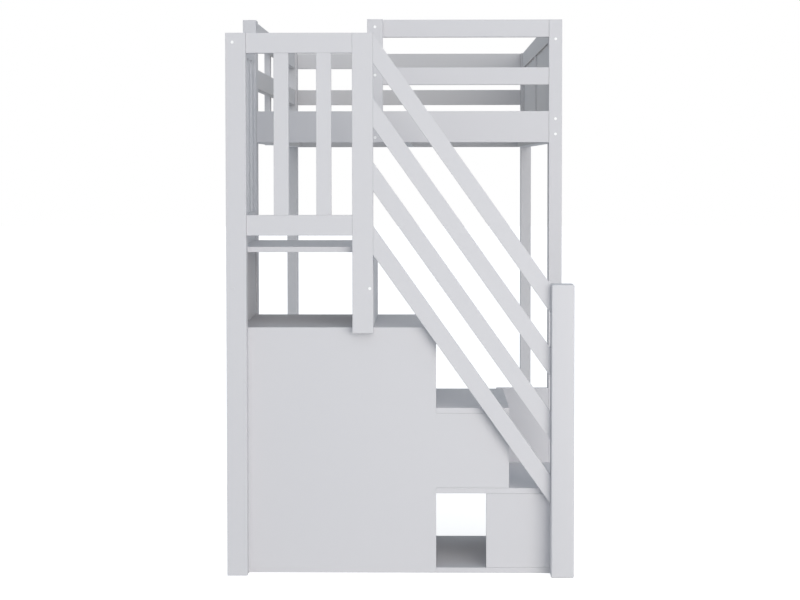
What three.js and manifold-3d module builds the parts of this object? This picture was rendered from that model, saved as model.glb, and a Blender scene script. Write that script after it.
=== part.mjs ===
// Loft bed with a stair of stepped boxes in front of its near end.
// Millimetres, +Z up. While it is drawn, x = 0 is the middle of the bed, y = 0 the near posts'
// front faces with +Y running down the bed, and z = 0 the floor. The finished group is moved
// so that the middle of its foot rectangle is the origin.
// Every board is drawn in its nominal place and stands half a clearance inside it on all sides,
// so that two boards that meet are one clearance apart.

import * as THREE from 'three';
import Module from 'manifold-3d';

// Driving dimensions
const CLEARANCE = 0.3;
const EASE = 0.7;
const BED_WIDTH = 1068;
const POST_WIDTH = 44;
const POST_DEPTH = 74;
const POST_PITCH = 1915;
const POST_HEIGHT = 1753;
const RAIL_THICK = 28;
const END_RAIL_RECESS = 2;
const SIDE_RAIL_RECESS = 8;
const NEAR_RAIL_HEIGHT = 58;
const GUARD_RAIL_HEIGHT = 65.5;
const GUARD_RAIL_PITCH = 159;
const BED_RAIL_DROP = 305;
const BED_RAIL_HEIGHT = 104.5;
const ENTRY_WIDTH = 373;
const ENTRY_POST_WIDTH = 52;
const ENTRY_POST_THICK = 28;
const UPRIGHT_WIDTH = 52;
const UPRIGHT_THICK = 22;
const SIDE_PANEL_RECESS = 6.5;
const SIDE_PANEL_THICK = 9;
const LEDGER_WIDTH = 22;
const LEDGER_HEIGHT = 34;
const CENTRE_BEAM_WIDTH = 44;
const SLAT_COUNT = 12;
const SLAT_WIDTH = 89;
const SLAT_THICK = 18;
const SLAT_END_PLAY = 4;
const SLAT_FIRST_GAP = 14;
const TAPE_WIDTH = 25;
const TAPE_THICK = 1.5;
const TAPE_SHARE = 0.67;

// Stair
const STAIR_DEPTH = 496;
const BOARD_THICK = 17;
const TREAD_COUNT = 4;
const TREAD_RISE = 250;
const FIRST_TREAD_TOP = 266;
const LOW_GOING = 196.5;
const MIDDLE_GOING = 226.2;
const HIGH_GOING = 194;
const CUBBY_WIDTH = 155.1;
const BACK_BOARD_LAP = 22.5;
const BACK_BOARD_RISE = 2;

// Guard of the stair
const STAIR_POST_WIDTH = 62;
const STAIR_POST_DEPTH = 48;
const STAIR_POST_DROP = 80;
const NEWEL_WIDTH = 70.5;
const NEWEL_DEPTH = 70;
const NEWEL_HEIGHT = 903;
const GUARD_THICK = 22;
const GUARD_RECESS = 8;
const STAIR_TOP_RAIL_HEIGHT = 61.5;
const STAIR_LOW_RAIL_LIFT = 36;
const STAIR_LOW_RAIL_HEIGHT = 63;
const FRONT_SLAT_WIDTH = 46;
const FRONT_SLAT_SHARES = [0.303, 0.771];
const STILE_WIDTH = 64;
const STILE_LAP = 15;
const SIDE_SLAT_WIDTH = 46;
const SIDE_SLAT_COUNT = 4;
const SIDE_SLAT_PITCH = 121;
const BRACE_COUNT = 4;
const BRACE_PITCH = 196;
const BRACE_HIGH_DROP = 3.5;
const BRACE_LOW_DROP = 2;
const BRACE_CUT = 89;

// Derived places
const gap = CLEARANCE / 2;
const halfWidth = BED_WIDTH / 2;
const postInner = halfWidth - POST_WIDTH;
const bedLength = POST_PITCH + POST_DEPTH;
const sideRailOuter = halfWidth - SIDE_RAIL_RECESS;
const sideRailInner = sideRailOuter - RAIL_THICK;
const nearRailBack = END_RAIL_RECESS + RAIL_THICK;
const farRailFront = bedLength - nearRailBack;
const bedRailTop = POST_HEIGHT - BED_RAIL_DROP;
const bedRailBottom = bedRailTop - BED_RAIL_HEIGHT;
const guardTop = POST_HEIGHT;
const midRailTop = POST_HEIGHT - GUARD_RAIL_PITCH;
const midLength = bedLength / 2;
const deckUnder = bedRailBottom + LEDGER_HEIGHT;
const stairFront = -STAIR_DEPTH;
const panelBack = stairFront + BOARD_THICK;
const guardFront = stairFront - STAIR_POST_DEPTH + GUARD_RECESS;
const guardBack = guardFront + GUARD_THICK;
const stairPostTop = POST_HEIGHT - STAIR_POST_DROP;
const stairPostRight = -halfWidth + STAIR_POST_WIDTH;
const newelLeft = halfWidth - NEWEL_WIDTH;
const sideBoardLeft = (STAIR_POST_WIDTH - BOARD_THICK) / 2 - halfWidth;
const sideBoardRight = sideBoardLeft + BOARD_THICK;
const midRight = halfWidth - LOW_GOING;
const tallRight = midRight - MIDDLE_GOING;
const landingRight = tallRight - HIGH_GOING;
const cubbyRight = tallRight + CUBBY_WIDTH;
const stileLeft = landingRight - STILE_WIDTH;
const topRailBottom = stairPostTop - STAIR_TOP_RAIL_HEIGHT;
const treadTop = Array.from({ length: TREAD_COUNT }, (_, i) => FIRST_TREAD_TOP + i * TREAD_RISE);
const treadUnder = treadTop.map((top) => top - BOARD_THICK);
const lowRailBottom = treadTop[3] + STAIR_LOW_RAIL_LIFT;
const lowRailTop = lowRailBottom + STAIR_LOW_RAIL_HEIGHT;
const stileBottom = treadTop[2] - STILE_LAP;
const entryLeft = ENTRY_WIDTH - postInner;

const wasm = await Module();
wasm.setup();

const group = new THREE.Group();
group.name = 'loft_bed';

const paint = { color: 0xd0d1d5, roughness: 0.5, metalness: 0 };
const rawWood = { color: 0xd9c29a, roughness: 0.7, metalness: 0 };

function add(name, geometry, look) {
  const mesh = new THREE.Mesh(geometry, new THREE.MeshStandardMaterial(look));
  mesh.name = name;
  group.add(mesh);
  return mesh;
}

// A board cut to an outline of (u, v) points, which turns left, and eased round both its faces.
// Its thickness runs along w from w0 to w1, and the basis turns u, v and w into x, y and z.
function outlineBoard(name, points, w0, w1, basis) {
  const shape = new THREE.Shape(points.map(([u, v]) => new THREE.Vector2(u, v)));
  const geometry = new THREE.ExtrudeGeometry(shape, {
    depth: w1 - w0 - CLEARANCE - 2 * EASE,
    bevelEnabled: true,
    bevelSegments: 1,
    bevelThickness: EASE,
    bevelSize: EASE,
    bevelOffset: -EASE - gap,
  });
  geometry.translate(0, 0, w0 + gap + EASE);
  geometry.applyMatrix4(basis);
  return add(name, geometry, paint);
}

const axisX = new THREE.Vector3(1, 0, 0);
const axisY = new THREE.Vector3(0, 1, 0);
const axisZ = new THREE.Vector3(0, 0, 1);
// Each basis is right-handed, so that the faces look outward.
const flat = new THREE.Matrix4().makeBasis(axisX, axisY, axisZ);
const acrossX = new THREE.Matrix4().makeBasis(axisY, axisZ, axisX);
const acrossY = new THREE.Matrix4().makeBasis(axisZ, axisX, axisY);

function rectangle(u0, u1, v0, v1) {
  return [[u0, v0], [u1, v0], [u1, v1], [u0, v1]];
}

// A square-cornered board between two limits on each axis, eased round its two wide faces.
function board(name, x, y, z) {
  const size = [x[1] - x[0], y[1] - y[0], z[1] - z[0]];
  const least = Math.min(...size);
  if (size[2] === least) {
    return outlineBoard(name, rectangle(x[0], x[1], y[0], y[1]), z[0], z[1], flat);
  }
  if (size[0] === least) {
    return outlineBoard(name, rectangle(y[0], y[1], z[0], z[1]), x[0], x[1], acrossX);
  }
  return outlineBoard(name, rectangle(z[0], z[1], x[0], x[1]), y[0], y[1], acrossY);
}

// Posts, and the short post beside the entry opening
function posts() {
  for (const [end, y0] of [['near', 0], ['far', POST_PITCH]]) {
    const depth = [y0, y0 + POST_DEPTH];
    board(`post_${end}_left`, [-halfWidth, -postInner], depth, [0, POST_HEIGHT]);
    board(`post_${end}_right`, [postInner, halfWidth], depth, [0, POST_HEIGHT]);
  }
  const entryX = [entryLeft, entryLeft + ENTRY_POST_WIDTH];
  const entryY = [END_RAIL_RECESS - ENTRY_POST_THICK, END_RAIL_RECESS];
  board('entry_post', entryX, entryY, [bedRailBottom, POST_HEIGHT]);
}

// Rails of the two ends. The near guard rails stop at the entry post.
function endRails() {
  const nearY = [END_RAIL_RECESS, nearRailBack];
  const farY = [farRailFront, bedLength - END_RAIL_RECESS];
  const full = [-postInner, postInner];
  const beside = [entryLeft, postInner];
  const bedRail = [bedRailBottom, bedRailTop];
  board('near_top_rail', beside, nearY, [guardTop - NEAR_RAIL_HEIGHT, guardTop]);
  board('near_mid_rail', beside, nearY, [midRailTop - NEAR_RAIL_HEIGHT, midRailTop]);
  board('near_bed_rail', full, nearY, bedRail);
  board('far_top_rail', full, farY, [guardTop - GUARD_RAIL_HEIGHT, guardTop]);
  board('far_mid_rail', full, farY, [midRailTop - GUARD_RAIL_HEIGHT, midRailTop]);
  board('far_bed_rail', full, farY, bedRail);
}

// Open left side: three rails and one upright lapped on their outer faces.
function leftSide() {
  const x = [-sideRailOuter, -sideRailInner];
  const y = [POST_DEPTH, POST_PITCH];
  board('left_top_rail', x, y, [guardTop - GUARD_RAIL_HEIGHT, guardTop]);
  board('left_mid_rail', x, y, [midRailTop - GUARD_RAIL_HEIGHT, midRailTop]);
  board('left_bed_rail', x, y, [bedRailBottom, bedRailTop]);
  const upX = [-sideRailOuter - UPRIGHT_THICK, -sideRailOuter];
  const upY = [midLength - UPRIGHT_WIDTH / 2, midLength + UPRIGHT_WIDTH / 2];
  board('left_upright', upX, upY, [bedRailBottom, guardTop]);
}

// Closed right side: two thin panels framed by two rails and a mullion at mid-length.
function rightSide() {
  const x = [sideRailInner, sideRailOuter];
  const y = [POST_DEPTH, POST_PITCH];
  const railBottom = guardTop - GUARD_RAIL_HEIGHT;
  const fill = [bedRailTop, railBottom];
  const mullion = [midLength - UPRIGHT_WIDTH / 2, midLength + UPRIGHT_WIDTH / 2];
  const panelInner = sideRailInner + SIDE_PANEL_RECESS;
  const panelX = [panelInner, panelInner + SIDE_PANEL_THICK];
  board('right_top_rail', x, y, [railBottom, guardTop]);
  board('right_bed_rail', x, y, [bedRailBottom, bedRailTop]);
  board('right_mullion', x, mullion, fill);
  board('right_panel_near', panelX, [POST_DEPTH, mullion[0]], fill);
  board('right_panel_far', panelX, [mullion[1], POST_PITCH], fill);
}

// What carries the slats: a ledger along each side rail and a beam in the middle.
function deckSupports() {
  const z = [bedRailBottom, deckUnder];
  const y = [POST_DEPTH, POST_PITCH];
  const outer = sideRailInner;
  board('ledger_left', [-outer, LEDGER_WIDTH - outer], y, z);
  board('ledger_right', [outer - LEDGER_WIDTH, outer], y, z);
  const half = CENTRE_BEAM_WIDTH / 2;
  board('centre_beam', [-half, half], [nearRailBack, farRailFront], z);
}

function solidBox(x, y, z) {
  const size = [x[1] - x[0], y[1] - y[0], z[1] - z[0]];
  return wasm.Manifold.cube(size).translate([x[0], y[0], z[0]]);
}

// The slats are held at their spacing by two tapes on their undersides, as one roll.
function slatRoll() {
  const reach = sideRailInner - SLAT_END_PLAY;
  const first = POST_DEPTH + SLAT_FIRST_GAP;
  const run = POST_PITCH - SLAT_FIRST_GAP - first;
  const pitch = (run - SLAT_WIDTH) / (SLAT_COUNT - 1);
  const under = deckUnder + gap;
  const top = under + SLAT_THICK;
  const pieces = [];
  for (let i = 0; i < SLAT_COUNT; i += 1) {
    const y0 = first + i * pitch;
    pieces.push(solidBox([-reach, reach], [y0, y0 + SLAT_WIDTH], [under, top]));
  }
  for (const side of [-1, 1]) {
    const middle = side * reach * TAPE_SHARE;
    const x = [middle - TAPE_WIDTH / 2, middle + TAPE_WIDTH / 2];
    pieces.push(solidBox(x, [first, first + run], [under - TAPE_THICK, under + TAPE_THICK]));
  }
  const mesh = wasm.Manifold.union(pieces).getMesh();
  const roll = new THREE.BufferGeometry();
  roll.setAttribute('position', new THREE.Float32BufferAttribute(mesh.vertProperties, 3));
  roll.setIndex(new THREE.Uint32BufferAttribute(mesh.triVerts, 1));
  const geometry = roll.toNonIndexed();
  geometry.computeVertexNormals();
  add('slat_roll', geometry, rawWood);
}

// Posts, rails and slats of the guard on the stair's front
function frontGuard() {
  const y = [guardFront, guardBack];
  const postY = [stairFront - STAIR_POST_DEPTH, stairFront];
  const between = [stairPostRight, stileLeft];
  board('stair_post', [-halfWidth, stairPostRight], postY, [0, stairPostTop]);
  board('newel', [newelLeft, halfWidth], [stairFront - NEWEL_DEPTH, stairFront], [0, NEWEL_HEIGHT]);
  board('front_top_rail', between, [guardFront, stairFront], [topRailBottom, stairPostTop]);
  board('front_low_rail', between, y, [lowRailBottom, lowRailTop]);
  const room = stileLeft - stairPostRight - FRONT_SLAT_WIDTH;
  FRONT_SLAT_SHARES.forEach((share, i) => {
    const left = stairPostRight + share * room;
    board(`front_slat_${i + 1}`, [left, left + FRONT_SLAT_WIDTH], y, [lowRailTop, topRailBottom]);
  });
  const stileX = [stileLeft, landingRight];
  board('stile', stileX, [guardFront, stairFront], [stileBottom, stairPostTop]);
}

// Sloping boards from the stile down to the newel, cut upright at both ends.
function braces() {
  for (let i = 0; i < BRACE_COUNT; i += 1) {
    const high = stairPostTop - BRACE_HIGH_DROP - i * BRACE_PITCH;
    const low = NEWEL_HEIGHT - BRACE_LOW_DROP - i * BRACE_PITCH;
    const outline = [
      [high - BRACE_CUT, landingRight],
      [high, landingRight],
      [low, newelLeft],
      [low - BRACE_CUT, newelLeft],
    ];
    outlineBoard(`brace_${i + 1}`, outline, guardFront, guardBack, acrossY);
  }
}

// Guard on the stair's left side, above the side board
function sideGuard() {
  const x = [sideBoardLeft, sideBoardRight];
  const y = [stairFront, 0];
  board('side_top_rail', x, y, [topRailBottom, stairPostTop]);
  board('side_low_rail', x, y, [lowRailBottom, lowRailTop]);
  const first = (stairFront - (SIDE_SLAT_COUNT - 1) * SIDE_SLAT_PITCH) / 2;
  for (let i = 0; i < SIDE_SLAT_COUNT; i += 1) {
    const middle = first + i * SIDE_SLAT_PITCH;
    const span = [middle - SIDE_SLAT_WIDTH / 2, middle + SIDE_SLAT_WIDTH / 2];
    board(`side_slat_${i + 1}`, x, span, [lowRailTop, topRailBottom]);
  }
}

// The stepped front board is one sheet. It leaves the front edges of the treads in view.
function stairFronts() {
  const outline = [
    [0, sideBoardRight],
    [treadTop[2], sideBoardRight],
    [treadTop[2], tallRight],
    [treadUnder[1], tallRight],
    [treadUnder[1], midRight],
    [treadTop[0], midRight],
    [treadTop[0], tallRight],
    [0, tallRight],
  ];
  outlineBoard('stepped_front', outline, stairFront, panelBack, acrossY);
  const y = [stairFront, panelBack];
  board('low_front', [cubbyRight, halfWidth], y, [BOARD_THICK, treadUnder[0]]);
}

function treads() {
  const y = [stairFront, 0];
  const level = treadTop.map((top, i) => [treadUnder[i], top]);
  board('tread_1', [tallRight, halfWidth], y, level[0]);
  board('tread_2', [tallRight, midRight], y, level[1]);
  board('tread_3', [sideBoardRight, tallRight], [panelBack, 0], level[2]);
  board('tread_4', [sideBoardRight, landingRight], y, level[3]);
  board('landing_riser', [landingRight - BOARD_THICK, landingRight], y, [treadTop[2], treadUnder[3]]);
}

// Boards of the carcass behind the fronts
function carcass() {
  const y = [panelBack, 0];
  const foot = [0, BOARD_THICK];
  const lowFill = [BOARD_THICK, treadUnder[0]];
  const midFill = [treadTop[0], treadUnder[1]];
  const dividerLeft = tallRight - BOARD_THICK;
  board('side_board', [sideBoardLeft, sideBoardRight], [stairFront, 0], [0, lowRailBottom]);
  board('bottom_tall', [sideBoardRight, tallRight], y, foot);
  board('bottom_low', [tallRight, halfWidth], [stairFront, 0], foot);
  board('divider_tall', [dividerLeft, tallRight], y, [BOARD_THICK, treadUnder[2]]);
  const underStep = [midRight - BOARD_THICK, midRight];
  board('divider_mid', underStep, y, midFill);
  board('cubby_wall', underStep, y, lowFill);
  board('end_riser', [halfWidth - BOARD_THICK, halfWidth], y, lowFill);
  board('shelf_low', [sideBoardRight, dividerLeft], y, [treadUnder[0], treadTop[0]]);
  board('shelf_high', [sideBoardRight, dividerLeft], y, [treadUnder[1], treadTop[1]]);
  const backTop = treadTop[1] + BACK_BOARD_RISE;
  const backX = [midRight - BACK_BOARD_LAP, postInner];
  board('back_board', backX, [0, BOARD_THICK], [treadUnder[0], backTop]);
}

posts();
endRails();
leftSide();
rightSide();
deckSupports();
slatRoll();
frontGuard();
braces();
sideGuard();
stairFronts();
treads();
carcass();

// Bring the middle of the foot rectangle to the origin.
const extent = new THREE.Box3().setFromObject(group);
const centre = extent.getCenter(new THREE.Vector3());
group.traverse((node) => {
  if (node.isMesh) {
    node.geometry.translate(-centre.x, -centre.y, -extent.min.z);
  }
});

export default group;
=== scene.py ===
import math

import bpy
from mathutils import Euler, Matrix, Vector

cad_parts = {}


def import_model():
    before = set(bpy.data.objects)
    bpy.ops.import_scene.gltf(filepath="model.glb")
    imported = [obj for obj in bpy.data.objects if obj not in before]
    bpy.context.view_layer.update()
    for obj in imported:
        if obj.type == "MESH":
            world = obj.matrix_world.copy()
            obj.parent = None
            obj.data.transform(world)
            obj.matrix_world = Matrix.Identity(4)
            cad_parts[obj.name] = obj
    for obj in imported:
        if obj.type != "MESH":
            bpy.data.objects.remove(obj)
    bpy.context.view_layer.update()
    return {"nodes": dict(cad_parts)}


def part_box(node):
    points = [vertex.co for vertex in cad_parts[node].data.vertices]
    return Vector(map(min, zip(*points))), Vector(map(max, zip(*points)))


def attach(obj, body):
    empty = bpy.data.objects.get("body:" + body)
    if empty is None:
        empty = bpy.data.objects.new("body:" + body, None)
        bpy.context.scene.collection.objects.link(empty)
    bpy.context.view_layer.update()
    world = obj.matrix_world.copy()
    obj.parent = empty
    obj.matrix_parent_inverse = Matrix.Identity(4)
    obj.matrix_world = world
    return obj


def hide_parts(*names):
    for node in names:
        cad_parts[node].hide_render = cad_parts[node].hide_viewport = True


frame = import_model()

nodes = frame["nodes"]

# Loft bed with a storage stair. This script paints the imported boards, adds the fasteners and the
# slatted base, and sets up the light and the camera. Lengths are in metres, angles in degrees.

# Axes by number, and the ways that a face can look
AXES = (0, 1, 2)
ALONG_X = 0
ALONG_Z = 2
TO_NEAR = Vector((0, -1, 0))
TO_FAR = Vector((0, 1, 0))
TO_LEFT = Vector((-1, 0, 0))
TO_RIGHT = Vector((1, 0, 0))
TO_FLOOR = Vector((0, 0, -1))

FULL_TURN = 360

# Finish of the boards' edges
WELD = 0.00001
FILM = 0.0001
EDGE_ROUND = 0.0004
EDGE_STEPS = 2
EDGE_ANGLE = 20
NEWEL_ROUND = 0.0045
NEWEL_STEPS = 5
SMOOTH_ANGLE = 30

# What all the fasteners share
SEAT = 0.0001
ROUND_SIDES = 24
RIM_STEPS = 3
RIM_ANGLE = 50
DISH_SLOPE_SHARE = 0.15
SOCKET_SIDES = 6

# Post caps
CAP_RADIUS = 0.0047
CAP_RISE = 0.0010
CAP_ROUND = 0.0006
CAP_RIM = 0.0012
CAP_DISH = 0.0002

# Bolt heads
HEAD_RADIUS = 0.0075
HEAD_RISE = 0.0024
HEAD_ROUND = 0.0009
HEAD_SOCKET = 0.0024
HEAD_SOCKET_DEPTH_SHARE = 0.7

# Covers of the stair's cam locks
COVER_RADIUS = 0.0085
COVER_RISE = 0.0010
COVER_ROUND = 0.0005
COVER_RIM = 0.0015
COVER_DISH = 0.0003
COVER_FROM_END = 0.034
COVER_FROM_EDGE = 0.055

# Ledger screws
SCREW_RADIUS = 0.0042
SCREW_RISE = 0.0006
SCREW_ROUND = 0.0003
SCREW_SOCKET = 0.0018
SCREWS_PER_LEDGER = 7

# The slatted base
SLAT_COUNT = 12
SLAT_WIDTH = 0.089
SLAT_THICK = 0.018
SLAT_ROUND = 0.0025
SLAT_STEPS = 3
TAPE_WIDTH = 0.025
TAPE_THICK = 0.0015
TAPE_SHARE = 0.67
TAPE_SAG = 0.0012
TAPE_CELLS_ACROSS = 2
TAPE_CELLS_ALONG = 116
STAPLE_WIDTH = 0.011
STAPLE_WIRE = 0.0009
STAPLE_ROUND = 0.0003
STAPLE_STEPS = 2
STAPLE_SPACING = 0.030

# Fasteners: the board, the way its face looks, the step sideways from its middle, the heights
CAPS = (
    ("entry_post", TO_NEAR, 0, (1.727, 1.567, 1.359)),
    ("post_near_right", TO_NEAR, 0, (1.688, 1.422, 1.371)),
    ("post_near_left", TO_NEAR, 0, (1.688, 1.422, 1.371)),
    ("stair_post", TO_NEAR, -0.0096, (1.644,)),
    ("stile", TO_NEAR, 0.0217, (0.889,)),
    ("post_far_right", TO_FAR, 0, (1.688, 1.422, 1.371)),
    ("post_far_left", TO_FAR, 0, (1.688, 1.422, 1.371)),
    ("left_upright", TO_LEFT, 0, (1.722, 1.563, 1.397)),
)
PAINTED_CAPS = (
    ("stair_post", TO_NEAR, -0.0096, (1.083, 0.889)),
)
HEADS = (
    ("post_near_right", TO_RIGHT, 0, (1.712, 1.552, 1.397)),
    ("post_far_right", TO_RIGHT, 0, (1.712, 1.552, 1.397)),
    ("post_near_left", TO_LEFT, 0, (1.397,)),
    ("post_far_left", TO_LEFT, 0, (1.712, 1.552, 1.397)),
)

# Boards with a screw row or cam covers, and the way that face looks
LEDGERS = (
    ("ledger_left", TO_RIGHT),
    ("ledger_right", TO_LEFT),
)
COVERED_BOARDS = (
    ("divider_tall", TO_LEFT),
    ("divider_mid", TO_LEFT),
    ("cubby_wall", TO_RIGHT),
    ("end_riser", TO_LEFT),
    ("landing_riser", TO_LEFT),
)

# Colours as linear light
PAINT = (0.647, 0.644, 0.667)
PAINT_WARM = (0.654, 0.650, 0.670)
CAP_WHITE = (0.95, 0.95, 0.955)
CAP_PALE = (0.97, 0.97, 0.97)
PINE_LIGHT = (0.66, 0.57, 0.45)
PINE_DARK = (0.50, 0.41, 0.30)
WEB_LIGHT = (0.70, 0.69, 0.66)
WEB_DARK = (0.42, 0.41, 0.39)
ZINC_LIGHT = (0.72, 0.72, 0.70)
ZINC_DARK = (0.55, 0.55, 0.54)
FLOOR_GREY = (0.62, 0.62, 0.62)
FLOOR_PALE = (0.64, 0.64, 0.64)
WHITE = (1, 1, 1, 1)

# Wood grain, drawn out long along a board's own axis
UNSTRETCHED = (1, 1, 1)
GRAIN_LONG = 3.0
GRAIN_CROSS = 90.0
GRAIN_DETAIL = 3.0
GRAIN_BREAK = 0.6
SOFT_DETAIL = 2.0
SOFT_BREAK = 0.5
FINE_DETAIL = 1.0

# Sockets of Blender's nodes by number, where a name is shared or changes with the version
MIX_FACTOR = 0
MIX_FIRST_COLOUR = 6
MIX_SECOND_COLOUR = 7
MIX_COLOUR = 2
WAVE_HEIGHT = 1

# Paint
PAINT_GRAIN_SCALE = 1.0
PAINT_CLOUD_SCALE = 5.0
PAINT_FILM_SCALE = 420.0
PAINT_MAIN_SHARE = 0.6
PAINT_GRAIN_SHARE = 0.4
PAINT_ROUGHNESS = 0.58
PAINT_CLOUD_ROUGHNESS = 0.08
PAINT_FILM_ROUGHNESS = 0.05
PAINT_SPECULAR = 0.3
PAINT_BUMP = 0.06
PAINT_BUMP_DEPTH = 0.0002

# Pine
RING_LONG = 0.35
RING_CROSS = 7.0
RING_SCALE = 3.2
RING_DISTORTION = 5.0
RING_DETAIL_SCALE = 1.2
PINE_WARP_SCALE = 1.6
PORE_SCALE = 3.0
RING_SHARE = 0.55
WARP_SHARE = 0.25
PORE_SHARE = 0.2
PINE_ROUGHNESS = 0.5
PORE_ROUGHNESS = 0.15
PINE_BUMP = 0.25
PINE_BUMP_DEPTH = 0.0006

# Webbing
WEAVE_SCALE = 200.0
WEAVE_DISTORTION = 0.4
WEAVE_SHARE = 0.8
SOIL_SCALE = 40.0
SOIL_SHARE = 0.2
WEB_ROUGHNESS = 0.8
WEB_TONE_ROUGHNESS = 0.1
WEB_BUMP = 0.5
WEB_BUMP_DEPTH = 0.0005

# Moulded plastic and plated steel
MOULDED_SCALE = 900.0
MOULDED_ROUGHNESS = 0.32
MOULDED_SPECKLE_ROUGHNESS = 0.08
MOULDED_BUMP = 0.05
MOULDED_BUMP_DEPTH = 0.0003
ZINC_SCALE = 400.0
ZINC_ROUGHNESS = 0.32
ZINC_CLOUD_ROUGHNESS = 0.12
ZINC_BUMP = 0.05
ZINC_BUMP_DEPTH = 0.0002

# Camera, fitted to the photograph's edges with the bed's assumed size
FRAME_WIDTH_PX = 800
FOCAL_PX = 1862.8
SENSOR = 36.0
AXIS_RISE_PX = 64
CAMERA_PLACE = (0.0989, -6.9591, 1.2771)
CAMERA_LEVEL = 90
CAMERA_YAW = -0.92
CAMERA_PITCH = -2.27
CAMERA_ROLL = 0.05
CAMERA_REACH = 100

# Light: a cool sky all round and slightly warm lamps, as name, power and aim
SKY = (0.905, 1.015, 1.125, 1)
SUNLIGHT = (1.0, 0.95, 0.90)
WORLD_LEVEL = 0.515
SUN_SPREAD = 40.0
SUN_PLACE = (0, 0, 4)
SUNS = (
    ("front", 0.44, (0.0, 1.0, -0.1)),
    ("front_right", 0.78, (-0.5, 1.0, -0.1)),
    ("front_high", 0.35, (-0.1, 1.0, -0.7)),
    ("front_low", 0.22, (-0.1, 1.0, 0.3)),
)
PANEL_POWER = 44.0
PANEL_PLACE = (2.0, -4.5, 0.7)
PANEL_AIM = (-2.0, 4.5, 0.2)
PANEL_WIDTH = 2.5
PANEL_HEIGHT = 2.0

# Floor
FLOOR_SIZE = 60
FLOOR_SPECKLE_SCALE = 60.0
FLOOR_LIFT = 0.76


class Wire:
    """A shader socket that can be used in sums, as a number can."""

    def __init__(self, maker, socket):
        self.maker = maker
        self.socket = socket

    def maths(self, operation, first, second):
        return self.maker.node("ShaderNodeMath", {"operation": operation}, {0: first, 1: second})

    def __add__(self, other):
        return self.maths("ADD", self, other)

    def __radd__(self, other):
        return self.maths("ADD", other, self)

    def __mul__(self, other):
        return self.maths("MULTIPLY", self, other)

    def __rmul__(self, other):
        return self.maths("MULTIPLY", other, self)


class Shader:
    """A material or world being made. node() adds any node and gives one output as a Wire."""

    def __init__(self, owner, ending="ShaderNodeOutputMaterial"):
        self.owner = owner
        owner.use_nodes = True
        self.tree = owner.node_tree
        self.tree.nodes.clear()
        self.out = self.tree.nodes.new(ending)

    def node(self, kind, settings=None, inputs=None, output=0):
        made = self.tree.nodes.new(kind)
        for key, value in (settings or {}).items():
            setattr(made, key, value)
        for key, value in (inputs or {}).items():
            if isinstance(value, Wire):
                self.tree.links.new(value.socket, made.inputs[key])
            else:
                made.inputs[key].default_value = value
        return Wire(self, made.outputs[output])

    def blend(self, factor, first, second):
        """Two plain colours mixed by a factor."""
        colours = {MIX_FIRST_COLOUR: (*first, 1), MIX_SECOND_COLOUR: (*second, 1)}
        return self.node(
            "ShaderNodeMix", {"data_type": "RGBA"}, {MIX_FACTOR: factor, **colours}, MIX_COLOUR
        )

    def place(self, scale, turn=(0, 0, 0)):
        """Object coordinates, stretched and turned."""
        raw = self.node("ShaderNodeTexCoord", output="Object")
        return self.node(
            "ShaderNodeMapping", inputs={"Vector": raw, "Rotation": turn, "Scale": scale}
        )

    def noise(self, where, scale, detail=SOFT_DETAIL, roughness=SOFT_BREAK):
        return self.node(
            "ShaderNodeTexNoise",
            inputs={"Vector": where, "Scale": scale, "Detail": detail, "Roughness": roughness},
        )

    def bump(self, height, strength, depth):
        return self.node(
            "ShaderNodeBump", inputs={"Strength": strength, "Distance": depth, "Height": height}
        )

    def principled(self, inputs):
        return self.surface(self.node("ShaderNodeBsdfPrincipled", inputs=inputs))

    def shown(self):
        """1 where the ray comes from the camera, a mirror or glass, else 0."""
        total = self.node("ShaderNodeLightPath", output="Is Camera Ray")
        for ray in ("Is Glossy Ray", "Is Transmission Ray"):
            total = total.maths("MAXIMUM", total, self.node("ShaderNodeLightPath", output=ray))
        return total

    def surface(self, shader):
        self.tree.links.new(shader.socket, self.out.inputs["Surface"])
        return self.owner


def stretch(axis, along, across):
    """A scale that draws a pattern out along one axis."""
    return tuple(along if i == axis else across for i in AXES)


def painted_wood(name, axis, turn=(0, 0, 0)):
    """Sprayed paint on a planed board: faint grain under the film and a fine even texture."""
    s = Shader(bpy.data.materials.new(name))
    even = s.place(UNSTRETCHED)
    drawn = s.place(stretch(axis, GRAIN_LONG, GRAIN_CROSS), turn)
    grain = s.noise(drawn, PAINT_GRAIN_SCALE, GRAIN_DETAIL, GRAIN_BREAK)
    cloud = s.noise(even, PAINT_CLOUD_SCALE)
    film = s.noise(even, PAINT_FILM_SCALE, FINE_DETAIL)
    tone = cloud * PAINT_MAIN_SHARE + grain * PAINT_GRAIN_SHARE
    height = film * PAINT_MAIN_SHARE + grain * PAINT_GRAIN_SHARE
    roughness = PAINT_ROUGHNESS + PAINT_CLOUD_ROUGHNESS * cloud + PAINT_FILM_ROUGHNESS * film
    return s.principled({
        "Base Color": s.blend(tone, PAINT, PAINT_WARM),
        "Roughness": roughness,
        "Specular IOR Level": PAINT_SPECULAR,
        "Normal": s.bump(height, PAINT_BUMP, PAINT_BUMP_DEPTH),
    })


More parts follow.
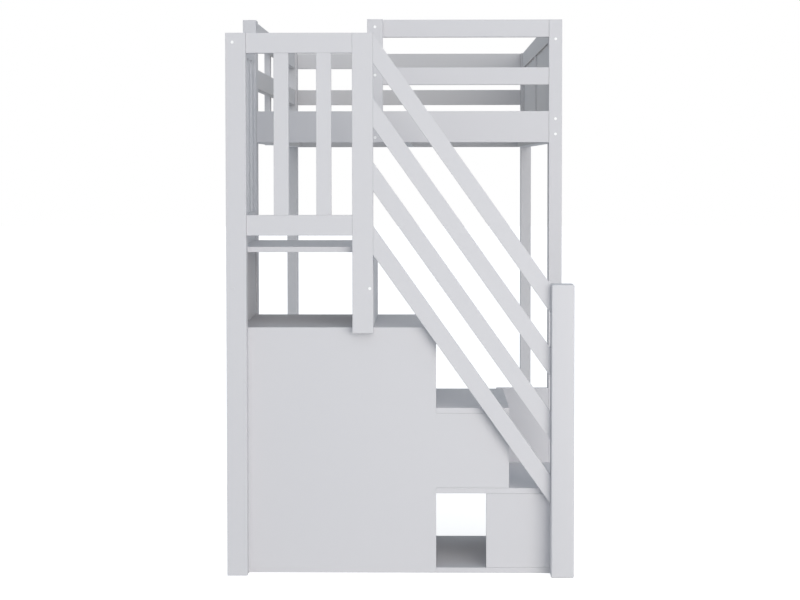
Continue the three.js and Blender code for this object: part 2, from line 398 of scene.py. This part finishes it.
def pine(name, axis):
    """Planed softwood: growth rings drawn out along the board, fine pores and a soft sheen."""
    s = Shader(bpy.data.materials.new(name))
    drawn = s.place(stretch(axis, RING_LONG, RING_CROSS))
    warp = s.noise(drawn, PINE_WARP_SCALE)
    rings = s.node(
        "ShaderNodeTexWave",
        {"wave_type": "RINGS", "rings_direction": "XYZ"[axis]},
        {"Vector": drawn, "Scale": RING_SCALE, "Distortion": RING_DISTORTION,
         "Detail": SOFT_DETAIL, "Detail Scale": RING_DETAIL_SCALE},
        WAVE_HEIGHT,
    )
    fine = s.place(stretch(axis, GRAIN_LONG, GRAIN_CROSS))
    pores = s.noise(fine, PORE_SCALE, GRAIN_DETAIL, GRAIN_BREAK)
    tone = rings * RING_SHARE + warp * WARP_SHARE + pores * PORE_SHARE
    return s.principled({
        "Base Color": s.blend(tone, PINE_DARK, PINE_LIGHT),
        "Roughness": PINE_ROUGHNESS + PORE_ROUGHNESS * pores,
        "Normal": s.bump(pores, PINE_BUMP, PINE_BUMP_DEPTH),
    })


def threads(shader, where, direction):
    """One set of a weave's threads."""
    return shader.node(
        "ShaderNodeTexWave", {"bands_direction": direction},
        {"Vector": where, "Scale": WEAVE_SCALE, "Distortion": WEAVE_DISTORTION}, WAVE_HEIGHT,
    )


def webbing(name):
    """Woven tape: a plain weave of about 1.5 mm, a little soiled."""
    s = Shader(bpy.data.materials.new(name))
    where = s.place(UNSTRETCHED)
    weave = threads(s, where, "X") * threads(s, where, "Y")
    tone = weave * WEAVE_SHARE + s.noise(where, SOIL_SCALE) * SOIL_SHARE
    return s.principled({
        "Base Color": s.blend(tone, WEB_DARK, WEB_LIGHT),
        "Roughness": WEB_ROUGHNESS + WEB_TONE_ROUGHNESS * tone,
        "Normal": s.bump(weave, WEB_BUMP, WEB_BUMP_DEPTH),
    })


def moulded_white(name):
    """Satin moulded plastic for caps, bolt heads and covers."""
    s = Shader(bpy.data.materials.new(name))
    speckle = s.noise(s.place(UNSTRETCHED), MOULDED_SCALE, FINE_DETAIL)
    return s.principled({
        "Base Color": s.blend(speckle, CAP_WHITE, CAP_PALE),
        "Roughness": MOULDED_ROUGHNESS + MOULDED_SPECKLE_ROUGHNESS * speckle,
        "Normal": s.bump(speckle, MOULDED_BUMP, MOULDED_BUMP_DEPTH),
    })


def zinc(name):
    """Plated steel of small screws and staples."""
    s = Shader(bpy.data.materials.new(name))
    cloud = s.noise(s.place(UNSTRETCHED), ZINC_SCALE)
    return s.principled({
        "Base Color": s.blend(cloud, ZINC_DARK, ZINC_LIGHT),
        "Metallic": 1.0,
        "Roughness": ZINC_ROUGHNESS + ZINC_CLOUD_ROUGHNESS * cloud,
        "Normal": s.bump(cloud, ZINC_BUMP, ZINC_BUMP_DEPTH),
    })


def deselect():
    for thing in bpy.context.selected_objects:
        thing.select_set(False)


def hold(piece):
    """Makes a piece the only selected one, and the active one."""
    deselect()
    piece.select_set(True)
    bpy.context.view_layer.objects.active = piece


def settle(piece):
    """A piece's place, turn and size go into its mesh."""
    hold(piece)
    bpy.ops.object.transform_apply(location=True, rotation=True, scale=True)
    return piece


def block(name, low, high):
    """A cube brought to a box."""
    deselect()
    low, high = Vector(low), Vector(high)
    bpy.ops.mesh.primitive_cube_add(size=1, location=(low + high) / 2)
    piece = bpy.context.object
    piece.name = name
    piece.scale = high - low
    return settle(piece)


def round_edges(piece, width, steps):
    """Every edge of a modelled piece is rounded in edit mode."""
    hold(piece)
    bpy.ops.object.mode_set(mode="EDIT")
    bpy.ops.mesh.select_all(action="SELECT")
    bpy.ops.mesh.bevel(offset=width, offset_type="OFFSET", segments=steps, affect="EDGES")
    bpy.ops.object.mode_set(mode="OBJECT")
    bpy.ops.object.shade_smooth_by_angle(angle=math.radians(SMOOTH_ANGLE))
    return piece


def pick_top(piece):
    """In edit mode, only the faces at the very top are left selected."""
    bpy.ops.mesh.select_all(action="DESELECT")
    bpy.ops.object.mode_set(mode="OBJECT")
    top = max(v.co.z for v in piece.data.vertices)
    for face in piece.data.polygons:
        face.select = all(top - piece.data.vertices[i].co.z < WELD for i in face.vertices)
    bpy.ops.object.mode_set(mode="EDIT")


def button(name, radius, rise, rounding):
    """A low round head that looks up, with a rounded rim. It is the start of every fastener."""
    deselect()
    bpy.ops.mesh.primitive_cylinder_add(
        vertices=ROUND_SIDES, radius=radius, depth=rise + SEAT, location=(0, 0, (rise - SEAT) / 2)
    )
    piece = settle(bpy.context.object)
    piece.name = name
    bpy.ops.object.mode_set(mode="EDIT")
    pick_top(piece)
    bpy.ops.mesh.bevel(offset=rounding, segments=RIM_STEPS, affect="EDGES")
    bpy.ops.object.mode_set(mode="OBJECT")
    bpy.ops.object.shade_smooth_by_angle(angle=math.radians(RIM_ANGLE))
    return piece


def dish(piece, radius, rim, depth):
    """A shallow hollow in the top, inside a rim."""
    hold(piece)
    bpy.ops.object.mode_set(mode="EDIT")
    pick_top(piece)
    bpy.ops.mesh.inset(thickness=rim)
    bpy.ops.mesh.inset(thickness=radius * DISH_SLOPE_SHARE)
    bpy.ops.transform.translate(value=(0, 0, -depth))
    bpy.ops.object.mode_set(mode="OBJECT")


def drive(piece, radius, socket, depth):
    """A six-sided socket sunk into the top. The round inner edge is first drawn to six flats."""
    side = math.radians(FULL_TURN / SOCKET_SIDES)
    hold(piece)
    bpy.ops.object.mode_set(mode="EDIT")
    pick_top(piece)
    bpy.ops.mesh.inset(thickness=radius - socket)
    bpy.ops.object.mode_set(mode="OBJECT")
    for corner in piece.data.vertices:
        if corner.select:
            turn = math.atan2(corner.co.y, corner.co.x) % side - side / 2
            reach = socket * math.cos(side / 2) / math.cos(turn)
            corner.co.xy = corner.co.xy.normalized() * reach
    bpy.ops.object.mode_set(mode="EDIT")
    bpy.ops.mesh.extrude_region_move(TRANSFORM_OT_translate={"value": (0, 0, -depth)})
    bpy.ops.object.mode_set(mode="OBJECT")


def copy_to(master, place, facing=None):
    """A copy with its own mesh, turned to look along facing where one is given."""
    made = master.copy()
    made.data = master.data.copy()
    bpy.context.scene.collection.objects.link(made)
    if facing:
        made.rotation_euler = facing.to_track_quat("Z", "Y").to_euler()
    made.location = place
    return settle(made)


def join(name, pieces):
    """Many small pieces become one."""
    deselect()
    for piece in pieces:
        piece.select_set(True)
    bpy.context.view_layer.objects.active = pieces[0]
    bpy.ops.object.join()
    pieces[0].name = name
    return pieces[0]


def spot(board, facing, sideways, height):
    """A place on a board's upright face, sideways from its middle."""
    low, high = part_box(board)
    middle = (low + high) / 2
    reach = (high - low) / 2
    across = Vector((abs(facing.y), abs(facing.x), 0))
    place = middle + Vector(f * r for f, r in zip(facing, reach)) + across * sideways
    place.z = height
    return place


def finish_piece(piece, material):
    piece.data.materials.clear()
    piece.data.materials.append(material)
    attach(piece, "root")
    return piece


def fit(name, master, spots, material):
    """Copies of a fastener at (place, facing) spots, as one piece. The master goes."""
    piece = join(name, [copy_to(master, place, facing) for place, facing in spots])
    bpy.data.objects.remove(master)
    return finish_piece(piece, material)


def rows(table):
    """The spots of a table of fasteners."""
    return [
        (spot(board, facing, sideways, height), facing)
        for board, facing, sideways, heights in table
        for height in heights
    ]


def cover_spots():
    """Four covers on each upright board of the stair, near its corners."""
    spots = []
    for board, facing in COVERED_BOARDS:
        low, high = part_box(board)
        side = (high.y - low.y) / 2 - COVER_FROM_EDGE
        for height in (low.z + COVER_FROM_END, high.z - COVER_FROM_END):
            for sideways in (-side, side):
                spots.append((spot(board, facing, sideways, height), facing))
    return spots


def ledger_spots():
    """Screws along the inner face of both ledgers."""
    spots = []
    for board, facing in LEDGERS:
        low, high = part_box(board)
        step = (high.y - low.y) / SCREWS_PER_LEDGER
        for i in range(SCREWS_PER_LEDGER):
            sideways = (i - (SCREWS_PER_LEDGER - 1) / 2) * step
            spots.append((spot(board, facing, sideways, (low.z + high.z) / 2), facing))
    return spots


def post_caps(white, paint):
    """Small round caps, most of them white, two of them painted over."""
    cap = button("cap", CAP_RADIUS, CAP_RISE, CAP_ROUND)
    dish(cap, CAP_RADIUS, CAP_RIM, CAP_DISH)
    painted_cap = copy_to(cap, (0, 0, 0))
    fit("post_caps", cap, rows(CAPS), white)
    fit("painted_caps", painted_cap, rows(PAINTED_CAPS), paint)


def bolt_heads(white):
    head = button("head", HEAD_RADIUS, HEAD_RISE, HEAD_ROUND)
    drive(head, HEAD_RADIUS - HEAD_ROUND, HEAD_SOCKET, HEAD_RISE * HEAD_SOCKET_DEPTH_SHARE)
    fit("bolt_heads", head, rows(HEADS), white)


def cam_covers(white):
    cover = button("cover", COVER_RADIUS, COVER_RISE, COVER_ROUND)
    dish(cover, COVER_RADIUS, COVER_RIM, COVER_DISH)
    fit("cam_covers", cover, cover_spots(), white)


def ledger_screws(steel):
    screw = button("screw", SCREW_RADIUS, SCREW_RISE, SCREW_ROUND)
    drive(screw, SCREW_RADIUS - SCREW_ROUND, SCREW_SOCKET, SCREW_RISE)
    fit("ledger_screws", screw, ledger_spots(), steel)


def slats(low, high, under, pitch, wood):
    """Twelve rounded slats from one."""
    first = block("slat", (low.x, low.y, under), (high.x, low.y + SLAT_WIDTH, high.z))
    round_edges(first, SLAT_ROUND, SLAT_STEPS)
    made = []
    for i in range(SLAT_COUNT):
        slat = copy_to(first, (0, i * pitch, 0))
        slat.name = f"slat_{i + 1:02d}"
        made.append(finish_piece(slat, wood))
    bpy.data.objects.remove(first)
    return made


def strap(name, x, start, end, top, pitch):
    """A woven tape that hangs a little between one slat and the next."""
    deselect()
    bpy.ops.mesh.primitive_grid_add(
        x_subdivisions=TAPE_CELLS_ACROSS, y_subdivisions=TAPE_CELLS_ALONG, size=1
    )
    piece = bpy.context.object
    piece.name = name
    piece.scale = (TAPE_WIDTH, end - start, 1)
    piece.location = (x, (start + end) / 2, top)
    settle(piece)
    for corner in piece.data.vertices:
        past = (corner.co.y - start) % pitch - SLAT_WIDTH
        share = max(past, 0) / (pitch - SLAT_WIDTH)
        # The sag is a parabola, whole half way between two slats and nothing at both
        corner.co.z -= TAPE_SAG * 4 * share * (1 - share)
    thick = piece.modifiers.new("thickness", "SOLIDIFY")
    thick.thickness = TAPE_THICK
    thick.offset = -1
    bpy.ops.object.modifier_apply(modifier=thick.name)
    bpy.ops.object.shade_smooth_by_angle(angle=math.radians(SMOOTH_ANGLE))
    return piece


def staples(lanes, start, under, pitch, steel):
    """Two staples through each tape into each slat."""
    half_width = STAPLE_WIDTH / 2
    half_wire = STAPLE_WIRE / 2
    staple = block(
        "staple", (-half_width, -half_wire, -SEAT), (half_width, half_wire, STAPLE_WIRE)
    )
    round_edges(staple, STAPLE_ROUND, STAPLE_STEPS)
    spots = []
    for i in range(SLAT_COUNT):
        for x in lanes:
            for step in (-STAPLE_SPACING / 2, STAPLE_SPACING / 2):
                y = start + SLAT_WIDTH / 2 + i * pitch + step
                spots.append((Vector((x, y, under - TAPE_THICK)), TO_FLOOR))
    return fit("staples", staple, spots, steel)


def slatted_base(wood, steel):
    """The slats, two woven tapes under them and the staples, in place of the frame's plain roll."""
    low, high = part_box("slat_roll")
    pitch = (high.y - low.y - SLAT_WIDTH) / (SLAT_COUNT - 1)
    under = high.z - SLAT_THICK
    middle = (low.x + high.x) / 2
    away = (high.x - low.x) / 2 * TAPE_SHARE
    lanes = (middle - away, middle + away)
    pieces = slats(low, high, under, pitch, wood)
    woven = webbing("webbing")
    for name, x in zip(("tape_left", "tape_right"), lanes):
        tape = strap(name, x, low.y, high.y, under, pitch)
        pieces.append(finish_piece(tape, woven))
    pieces.append(staples(lanes, low.y, under, pitch, steel))
    for piece in pieces:
        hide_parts("slat_roll")


def soften(node):
    """Live modifiers lay a film of paint on a board and round its eased edges."""
    weld = node.modifiers.new("weld", "WELD")
    weld.merge_threshold = WELD
    film = node.modifiers.new("film", "DISPLACE")
    film.mid_level = 0
    film.strength = FILM
    bevel = node.modifiers.new("round", "BEVEL")
    bevel.width = EDGE_ROUND
    bevel.segments = EDGE_STEPS
    bevel.limit_method = "ANGLE"
    bevel.angle_limit = math.radians(EDGE_ANGLE)


def long_axis(name):
    low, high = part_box(name)
    size = high - low
    return max(AXES, key=lambda i: size[i])


def brace_paint():
    """Paint whose grain is turned to run along a brace."""
    low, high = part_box("brace_1")
    slope = math.atan2(high.z - low.z, high.x - low.x)
    return painted_wood("painted_sloping", ALONG_X, (0, -slope, 0))


def dress_boards(paints, wood):
    """Every frame node gets its finish. paints holds one for each axis that a grain can follow."""
    sloping = brace_paint()
    for name, node in nodes.items():
        if name == "slat_roll":
            finish = wood
        elif name.startswith("brace"):
            finish = sloping
        else:
            finish = paints[long_axis(name)]
        node.data.materials.clear()
        node.data.materials.append(finish)
        soften(node)


def newel(finish):
    """The newel has a rounder edge than the boards."""
    low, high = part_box("newel")
    post = round_edges(block("newel_rounded", low, high), NEWEL_ROUND, NEWEL_STEPS)
    finish_piece(post, finish)
    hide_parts("newel")


def camera():
    data = bpy.data.cameras.new("camera")
    data.sensor_width = SENSOR
    data.lens = FOCAL_PX / FRAME_WIDTH_PX * SENSOR
    data.shift_y = -AXIS_RISE_PX / FRAME_WIDTH_PX
    data.clip_end = CAMERA_REACH
    eye = bpy.data.objects.new("camera", data)
    bpy.context.scene.collection.objects.link(eye)
    eye.location = CAMERA_PLACE
    pitch = math.radians(CAMERA_LEVEL + CAMERA_PITCH)
    aimed = Euler((pitch, 0, math.radians(-CAMERA_YAW))).to_matrix()
    tilt = Matrix.Rotation(math.radians(-CAMERA_ROLL), 3, "Z")
    eye.rotation_euler = (aimed @ tilt).to_euler()
    bpy.context.scene.camera = eye


def lamp(name, kind, power, place, aim):
    data = bpy.data.lights.new(name, kind)
    data.energy = power
    data.color = SUNLIGHT
    made = bpy.data.objects.new(name, data)
    bpy.context.scene.collection.objects.link(made)
    made.location = place
    made.rotation_euler = Vector(aim).to_track_quat("-Z", "Y").to_euler()
    return data


def lights():
    """Broad soft lights, mostly from the front and the right, and a panel near the stair."""
    for name, power, aim in SUNS:
        sun = lamp(name, "SUN", power, SUN_PLACE, aim)
        sun.angle = math.radians(SUN_SPREAD)
    panel = lamp("panel", "AREA", PANEL_POWER, PANEL_PLACE, PANEL_AIM)
    panel.shape = "RECTANGLE"
    panel.size = PANEL_WIDTH
    panel.size_y = PANEL_HEIGHT


def world():
    """White to the camera and to reflections, and a soft cool light on the object."""
    made = bpy.data.worlds.new("studio")
    bpy.context.scene.world = made
    s = Shader(made, "ShaderNodeOutputWorld")
    soft = s.node("ShaderNodeBackground", inputs={"Color": SKY, "Strength": WORLD_LEVEL})
    bright = s.node("ShaderNodeBackground", inputs={"Color": WHITE, "Strength": 1.0})
    s.surface(s.node("ShaderNodeMixShader", inputs={0: s.shown(), 1: soft, 2: bright}))


def floor():
    """A pale floor. The camera sees it nearly white, with the object's shadow left on it."""
    deselect()
    bpy.ops.mesh.primitive_plane_add(size=FLOOR_SIZE, location=(0, 0, 0))
    ground = bpy.context.object
    ground.name = "floor"
    s = Shader(bpy.data.materials.new("pale_floor"))
    speckle = s.noise(s.place(UNSTRETCHED), FLOOR_SPECKLE_SCALE)
    grey = s.blend(speckle, FLOOR_GREY, FLOOR_PALE)
    plain = s.node("ShaderNodeBsdfDiffuse", inputs={"Color": grey})
    lift = s.node("ShaderNodeEmission", inputs={"Color": WHITE, "Strength": FLOOR_LIFT})
    raised = s.node("ShaderNodeAddShader", inputs={0: plain, 1: lift})
    s.surface(s.node("ShaderNodeMixShader", inputs={0: s.shown(), 1: plain, 2: raised}))
    ground.data.materials.append(s.owner)


bpy.context.scene.view_settings.view_transform = "Standard"
camera()
painted = [painted_wood(f"painted_{letter}", axis) for axis, letter in enumerate("xyz")]
slat_pine = pine("pine_x", ALONG_X)
dress_boards(painted, slat_pine)
newel(painted[ALONG_Z])
moulded = moulded_white("moulded_white")
plated = zinc("zinc")
post_caps(moulded, painted[ALONG_Z])
bolt_heads(moulded)
cam_covers(moulded)
ledger_screws(plated)
slatted_base(slat_pine, plated)
world()
floor()
lights()
